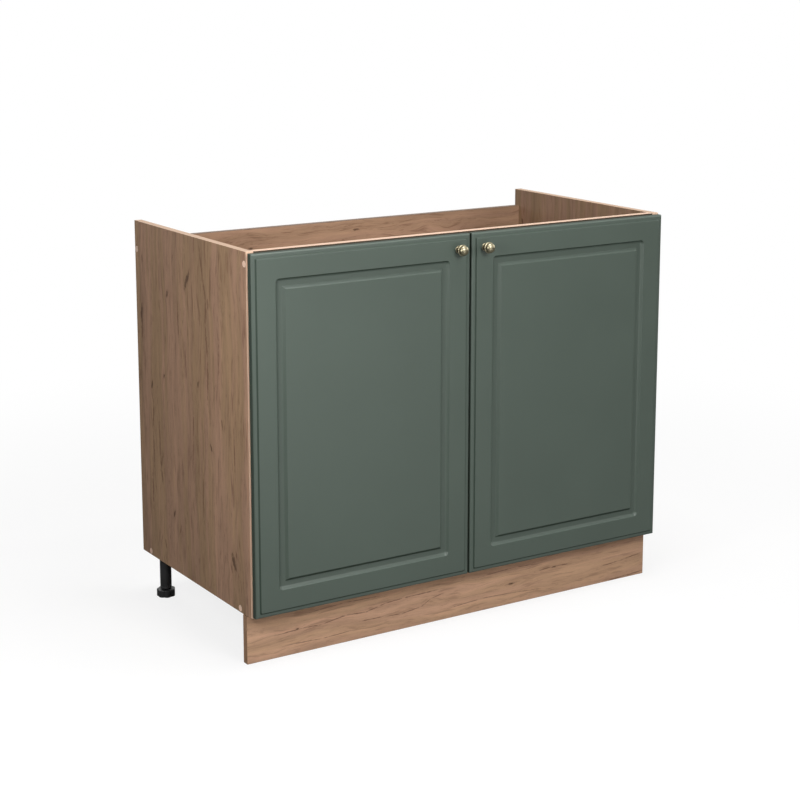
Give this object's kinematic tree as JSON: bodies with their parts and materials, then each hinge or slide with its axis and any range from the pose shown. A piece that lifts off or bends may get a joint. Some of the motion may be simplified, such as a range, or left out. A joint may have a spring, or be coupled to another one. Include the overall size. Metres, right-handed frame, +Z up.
{
  "type": "sink base cabinet",
  "caption": "Open-topped sink base cabinet with raised-panel doors on concealed hinges, round knobs, adjustable legs and a clip-on plinth board.",
  "frame": {"origin": "on the floor, in the middle of the box round the whole cabinet with its doors shut", "axes": "+Z up, +X to the right as seen from the front, +Y to the back; the doors face -Y"},
  "size_m": [1, 0.544, 0.82],
  "materials": {
    "carcass_oak": "matt tobacco oak decor on particle board, pale band on the top and front edges",
    "plinth_oak": "matt oak decor with horizontal grain",
    "door_green": "grey-green matt film on routed fibreboard",
    "antique_brass": "antique brass, polished",
    "nickel_steel": "nickel-plated pressed steel",
    "zinc_steel": "zinc-plated steel",
    "black_plastic": "black moulded plastic",
    "cap_peach": "flush press-in cover cap"
  },
  "bodies": {
    "carcass": {"left_side_panel": "carcass_oak", "right_side_panel": "carcass_oak", "bottom_panel": "carcass_oak", "front_rail": "carcass_oak", "back_rail": "carcass_oak", "plinth_board": "plinth_oak", "left_plinth_clip": "black_plastic", "left_front_rail_screw": "zinc_steel", "left_front_rail_cap": "cap_peach", "left_back_rail_screw": "zinc_steel", "left_back_rail_cap": "cap_peach", "left_bottom_front_screw": "zinc_steel", "left_bottom_front_cap": "cap_peach", "left_bottom_back_screw": "zinc_steel", "left_bottom_back_cap": "cap_peach", "left_front_leg_mount": "black_plastic", "left_front_leg_tube": "black_plastic", "left_back_leg_mount": "black_plastic", "left_back_leg_tube": "black_plastic", "left_lower_hinge_arm": "nickel_steel", "left_lower_hinge_plate": "nickel_steel", "left_upper_hinge_arm": "nickel_steel", "left_upper_hinge_plate": "nickel_steel", "right_plinth_clip": "black_plastic", "right_front_rail_screw": "zinc_steel", "right_front_rail_cap": "cap_peach", "right_back_rail_screw": "zinc_steel", "right_back_rail_cap": "cap_peach", "right_bottom_front_screw": "zinc_steel", "right_bottom_front_cap": "cap_peach", "right_bottom_back_screw": "zinc_steel", "right_bottom_back_cap": "cap_peach", "right_front_leg_mount": "black_plastic", "right_front_leg_tube": "black_plastic", "right_back_leg_mount": "black_plastic", "right_back_leg_tube": "black_plastic", "right_lower_hinge_arm": "nickel_steel", "right_lower_hinge_plate": "nickel_steel", "right_upper_hinge_arm": "nickel_steel", "right_upper_hinge_plate": "nickel_steel"},
    "left_door": {"left_door": "door_green", "left_knob": "antique_brass", "left_knob_screw": "zinc_steel", "left_lower_hinge_cup": "nickel_steel", "left_upper_hinge_cup": "nickel_steel"},
    "left_hinge_links": {"left_lower_hinge_link": "nickel_steel", "left_upper_hinge_link": "nickel_steel"},
    "left_front_foot": {"left_front_leg_foot": "black_plastic"},
    "left_back_foot": {"left_back_leg_foot": "black_plastic"},
    "right_door": {"right_door": "door_green", "right_knob": "antique_brass", "right_knob_screw": "zinc_steel", "right_lower_hinge_cup": "nickel_steel", "right_upper_hinge_cup": "nickel_steel"},
    "right_hinge_links": {"right_lower_hinge_link": "nickel_steel", "right_upper_hinge_link": "nickel_steel"},
    "right_front_foot": {"right_front_leg_foot": "black_plastic"},
    "right_back_foot": {"right_back_leg_foot": "black_plastic"}
  },
  "joints": [
    {"name": "left_door_swing", "type": "hinge", "parent": "carcass", "child": "left_door", "pos_m": [-0.492, -0.24, 0.46], "axis": [0, 0, -1], "range_deg": [0, 110]},
    {"name": "left_link_turn", "type": "hinge", "parent": "carcass", "child": "left_hinge_links", "pos_m": [-0.472, -0.2365, 0.46], "axis": [0, 0, 1], "range_deg": [0, 36.5]},
    {"name": "right_door_swing", "type": "hinge", "parent": "carcass", "child": "right_door", "pos_m": [0.492, -0.24, 0.46], "axis": [0, 0, 1], "range_deg": [0, 110]},
    {"name": "right_link_turn", "type": "hinge", "parent": "carcass", "child": "right_hinge_links", "pos_m": [0.472, -0.2365, 0.46], "axis": [0, 0, -1], "range_deg": [0, 36.5]},
    {"name": "left_front_foot_height", "type": "slide", "parent": "carcass", "child": "left_front_foot", "axis": [0, 0, -1], "range_m": [0, 0.012]},
    {"name": "left_back_foot_height", "type": "slide", "parent": "carcass", "child": "left_back_foot", "axis": [0, 0, -1], "range_m": [0, 0.012]},
    {"name": "right_front_foot_height", "type": "slide", "parent": "carcass", "child": "right_front_foot", "axis": [0, 0, -1], "range_m": [0, 0.012]},
    {"name": "right_back_foot_height", "type": "slide", "parent": "carcass", "child": "right_back_foot", "axis": [0, 0, -1], "range_m": [0, 0.012]}
  ],
  "couplings": [
    {"joint": "left_link_turn", "follows": "left_door_swing", "ratio": 0.3307},
    {"joint": "right_link_turn", "follows": "right_door_swing", "ratio": 0.3307}
  ]
}
